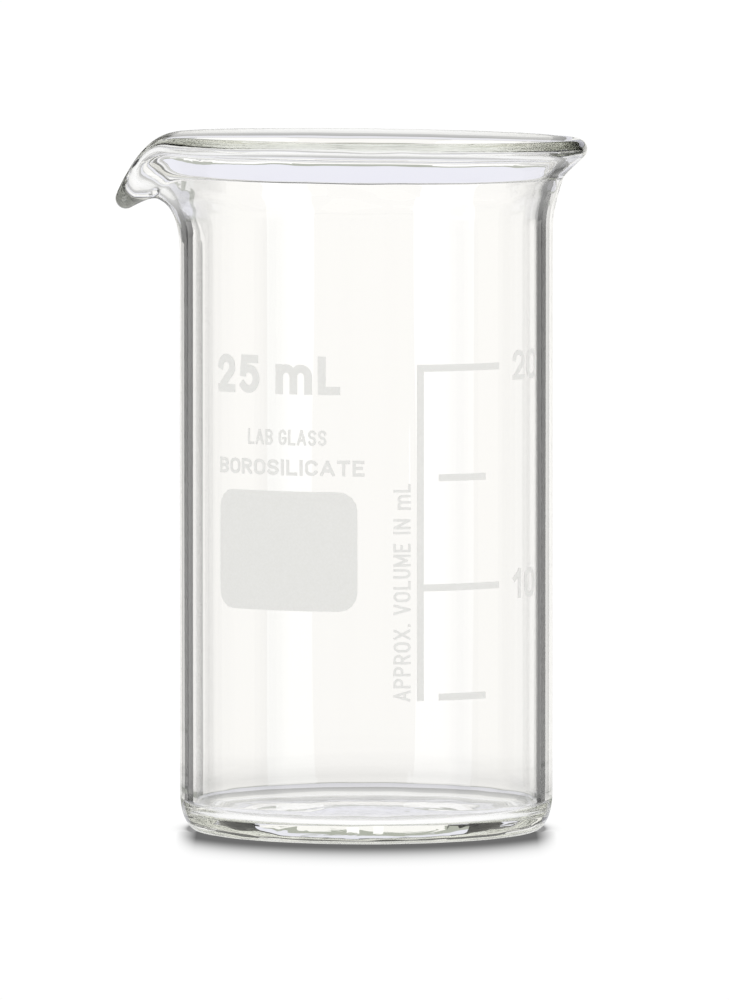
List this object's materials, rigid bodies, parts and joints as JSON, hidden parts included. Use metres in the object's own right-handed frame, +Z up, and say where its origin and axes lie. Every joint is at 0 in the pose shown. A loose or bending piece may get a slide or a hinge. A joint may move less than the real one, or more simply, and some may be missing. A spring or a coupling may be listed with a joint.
{
  "type": "beaker",
  "caption": "Small tall-form glass laboratory beaker with a flared fire-polished rim, a pouring spout and a printed white enamel volume scale.",
  "frame": {"origin": "centre of the flat underside, on the axis of the round body", "axes": "+Z up along the body's axis, -X towards the spout, -Y towards the middle of the print"},
  "size_m": [0.0379, 0.0354, 0.0559],
  "materials": {
    "glass": "clear colourless borosilicate glass, fire polished, with a faint green-grey tint seen edge on",
    "enamel": "white printed enamel fired on the glass, satin, slightly translucent"
  },
  "bodies": {
    "root": {"glass_body": "glass", "capacity_01_2": "enamel", "capacity_02_5": "enamel", "capacity_03_m": "enamel", "capacity_04_L": "enamel", "large_note_01_B": "enamel", "large_note_02_O": "enamel", "large_note_03_R": "enamel", "large_note_04_O": "enamel", "large_note_05_S": "enamel", "large_note_06_I": "enamel", "large_note_07_L": "enamel", "large_note_08_I": "enamel", "large_note_09_C": "enamel", "large_note_10_A": "enamel", "large_note_11_T": "enamel", "large_note_12_E": "enamel", "legend_01_A": "enamel", "legend_02_P": "enamel", "legend_03_P": "enamel", "legend_04_R": "enamel", "legend_05_O": "enamel", "legend_06_X": "enamel", "legend_07_point": "enamel", "legend_08_V": "enamel", "legend_09_O": "enamel", "legend_10_L": "enamel", "legend_11_U": "enamel", "legend_12_M": "enamel", "legend_13_E": "enamel", "legend_14_I": "enamel", "legend_15_N": "enamel", "legend_16_m": "enamel", "legend_17_L": "enamel", "marking_patch": "enamel", "numeral_10_01_1": "enamel", "numeral_10_02_0": "enamel", "numeral_20_01_2": "enamel", "numeral_20_02_0": "enamel", "scale_post_with_long_ticks": "enamel", "small_note_01_L": "enamel", "small_note_02_A": "enamel", "small_note_03_B": "enamel", "small_note_04_G": "enamel", "small_note_05_L": "enamel", "small_note_06_A": "enamel", "small_note_07_S": "enamel", "small_note_08_S": "enamel", "tick_15_ml": "enamel", "tick_5_ml": "enamel"}
  },
  "joints": []
}
